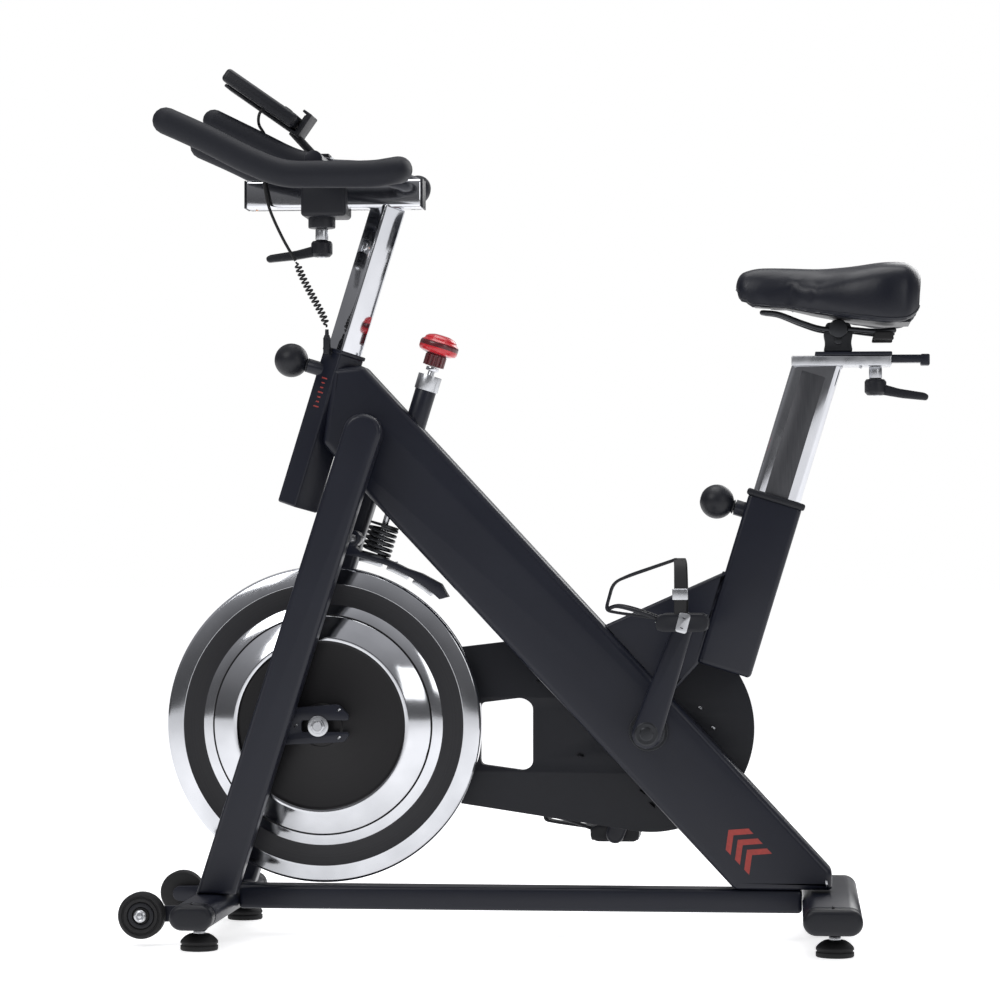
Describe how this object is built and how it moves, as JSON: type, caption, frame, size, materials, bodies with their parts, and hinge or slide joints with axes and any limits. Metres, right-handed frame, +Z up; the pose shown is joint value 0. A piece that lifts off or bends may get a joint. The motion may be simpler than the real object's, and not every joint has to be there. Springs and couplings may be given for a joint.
{
  "type": "exercise bike",
  "caption": "Indoor cycling bike with a belt-driven flywheel, push-knob brake, toe-cage pedals, and a handlebar and saddle that adjust in height and reach.",
  "frame": {"origin": "on the floor under the middle of the bike's overall box", "axes": "-X forwards, the way the rider faces; +Y to the rider's right, the belt side; +Z up"},
  "size_m": [1.1585, 0.5, 1.2699],
  "materials": {
    "frame_paint": "satin black powder coat with a cool cast",
    "black_plastic": "fine-grained black moulding",
    "black_rubber": "matt black rubber",
    "grip_foam": "closed-cell black foam",
    "machine_steel": "machined and zinc-plated steel",
    "chrome": "bright chrome plate",
    "flywheel_steel": "turned and chromed rim with a black painted face",
    "red_plastic": "glossy red moulding with a dark band",
    "saddle_vinyl": "smooth black vinyl over foam"
  },
  "bodies": {
    "frame": {"main_beam": "frame_paint", "head_tube": "frame_paint", "seat_tube": "frame_paint", "seat_gusset": "frame_paint", "fork_leg_left": "frame_paint", "fork_leg_right": "frame_paint", "floor_rail": "frame_paint", "front_stabilizer": "frame_paint", "rear_stabilizer": "frame_paint", "front_cap_left": "black_plastic", "front_cap_right": "black_plastic", "rear_cap_left": "black_plastic", "rear_cap_right": "black_plastic", "guard_inner": "black_plastic", "guard_outer": "black_plastic", "drive_belt": "black_rubber", "flywheel_axle": "machine_steel", "bottom_bracket": "machine_steel", "brake_spring": "machine_steel", "brake_pivot_pin": "machine_steel", "lead_plug": "black_plastic"},
    "foot_front_left": {"levelling_foot_front_left": "black_rubber"},
    "foot_front_right": {"levelling_foot_front_right": "black_rubber"},
    "foot_rear_left": {"levelling_foot_rear_left": "black_rubber"},
    "foot_rear_right": {"levelling_foot_rear_right": "black_rubber"},
    "roller_left": {"transport_wheel_left": "black_rubber"},
    "roller_right": {"transport_wheel_right": "black_rubber"},
    "flywheel": {"flywheel": "flywheel_steel", "flywheel_pulley": "machine_steel"},
    "crankset": {"crank_pulley": "machine_steel", "crank_left": "frame_paint", "crank_right": "frame_paint"},
    "pedal_left": {"pedal_left": "black_plastic"},
    "pedal_right": {"pedal_right": "black_plastic"},
    "brake_rod": {"brake_rod": "machine_steel"},
    "brake_knob": {"brake_knob": "red_plastic"},
    "brake_arm": {"brake_arm": "frame_paint"},
    "post": {"handlebar_post": "chrome", "curly_lead": "black_rubber"},
    "handlebar": {"slider_block": "black_plastic", "handlebar_frame": "frame_paint", "grip_left": "grip_foam", "grip_right": "grip_foam", "horn_grip_left": "grip_foam", "horn_grip_right": "grip_foam", "console_bracket": "black_plastic", "console_case": "black_plastic", "console_lead": "black_rubber"},
    "reach_lever": {"reach_lever": "black_plastic"},
    "console_button": {"console_button": "black_rubber"},
    "head_pin": {"head_pin": "black_plastic"},
    "seat_pin": {"seat_pin": "black_plastic"},
    "seat_post": {"seat_post": "chrome", "seat_head": "machine_steel"},
    "seat_carriage": {"seat_carriage": "frame_paint", "saddle_clamp": "machine_steel"},
    "seat_lever": {"seat_lever": "black_plastic"},
    "saddle": {"saddle_pad": "saddle_vinyl", "saddle_base": "black_plastic", "saddle_rails": "machine_steel"}
  },
  "joints": [
    {"name": "foot_front_left_turn", "type": "hinge", "parent": "frame", "child": "foot_front_left", "pos_m": [-0.4565, -0.197, 0], "axis": [0, 0, 1], "continuous": true},
    {"name": "foot_front_right_turn", "type": "hinge", "parent": "frame", "child": "foot_front_right", "pos_m": [-0.4565, 0.197, 0], "axis": [0, 0, 1], "continuous": true},
    {"name": "foot_rear_left_turn", "type": "hinge", "parent": "frame", "child": "foot_rear_left", "pos_m": [0.4385, -0.197, 0], "axis": [0, 0, 1], "continuous": true},
    {"name": "foot_rear_right_turn", "type": "hinge", "parent": "frame", "child": "foot_rear_right", "pos_m": [0.4385, 0.197, 0], "axis": [0, 0, 1], "continuous": true},
    {"name": "roller_left_spin", "type": "hinge", "parent": "frame", "child": "roller_left", "pos_m": [-0.5462, -0.16, 0.044], "axis": [0, 1, 0], "continuous": true},
    {"name": "roller_right_spin", "type": "hinge", "parent": "frame", "child": "roller_right", "pos_m": [-0.5462, 0.16, 0.044], "axis": [0, 1, 0], "continuous": true},
    {"name": "flywheel_spin", "type": "hinge", "parent": "frame", "child": "flywheel", "pos_m": [-0.3055, 0, 0.31], "axis": [0, 1, 0], "continuous": true},
    {"name": "crank_spin", "type": "hinge", "parent": "frame", "child": "crankset", "pos_m": [0.1725, 0, 0.303], "axis": [0, 1, 0], "continuous": true},
    {"name": "pedal_left_spin", "type": "hinge", "parent": "crankset", "child": "pedal_left", "pos_m": [0.22785, -0.16, 0.46374], "axis": [0, 1, 0], "continuous": true},
    {"name": "pedal_right_spin", "type": "hinge", "parent": "crankset", "child": "pedal_right", "pos_m": [0.11715, 0.16, 0.14226], "axis": [0, 1, 0], "continuous": true},
    {"name": "brake_press", "type": "slide", "parent": "frame", "child": "brake_rod", "axis": [-0.2924, 0, -0.9563], "range_m": [0, 0.005], "stiffness_N_per_m": 3000, "springref_m": -0.003},
    {"name": "resistance_turn", "type": "hinge", "parent": "brake_rod", "child": "brake_knob", "pos_m": [-0.1385, 0, 0.858], "axis": [0.2924, 0, 0.9563], "continuous": true},
    {"name": "brake_arm_swing", "type": "hinge", "parent": "frame", "child": "brake_arm", "pos_m": [-0.262, 0, 0.583], "axis": [0, 1, 0], "range_deg": [0, 2.1]},
    {"name": "handlebar_height", "type": "slide", "parent": "frame", "child": "post", "axis": [0.2924, 0, 0.9563], "range_m": [-0.095, 0.06], "deforming": ["curly_lead"]},
    {"name": "handlebar_reach", "type": "slide", "parent": "post", "child": "handlebar", "axis": [1, 0, 0], "range_m": [-0.06, 0.02]},
    {"name": "reach_lever_turn", "type": "hinge", "parent": "handlebar", "child": "reach_lever", "pos_m": [-0.3105, 0, 1.03], "axis": [0, 0, 1], "range_deg": [-100, 10]},
    {"name": "console_button_press", "type": "slide", "parent": "handlebar", "child": "console_button", "axis": [-0.5736, 0, -0.8192], "range_m": [0, 0.001], "stiffness_N_per_m": 400},
    {"name": "head_pin_pull", "type": "slide", "parent": "frame", "child": "head_pin", "axis": [-0.9563, 0, 0.2924], "range_m": [0, 0.01], "stiffness_N_per_m": 800},
    {"name": "seat_pin_pull", "type": "slide", "parent": "frame", "child": "seat_pin", "axis": [-0.9563, 0, 0.2924], "range_m": [0, 0.01], "stiffness_N_per_m": 800},
    {"name": "seat_height", "type": "slide", "parent": "frame", "child": "seat_post", "axis": [0.2924, 0, 0.9563], "range_m": [-0.1, 0.06]},
    {"name": "seat_reach", "type": "slide", "parent": "seat_post", "child": "seat_carriage", "axis": [1, 0, 0], "range_m": [-0.04, 0.03]},
    {"name": "seat_lever_turn", "type": "hinge", "parent": "seat_post", "child": "seat_lever", "pos_m": [0.501, 0, 0.82], "axis": [0, 0, 1], "range_deg": [-10, 100]},
    {"name": "saddle_tilt", "type": "hinge", "parent": "seat_carriage", "child": "saddle", "pos_m": [0.447, 0, 0.886], "axis": [0, 1, 0], "range_deg": [-10, 10]}
  ],
  "couplings": [
    {"joint": "crank_spin", "follows": "flywheel_spin", "ratio": 0.2737},
    {"joint": "brake_arm_swing", "follows": "brake_press", "rad_per_m": 6.98}
  ]
}
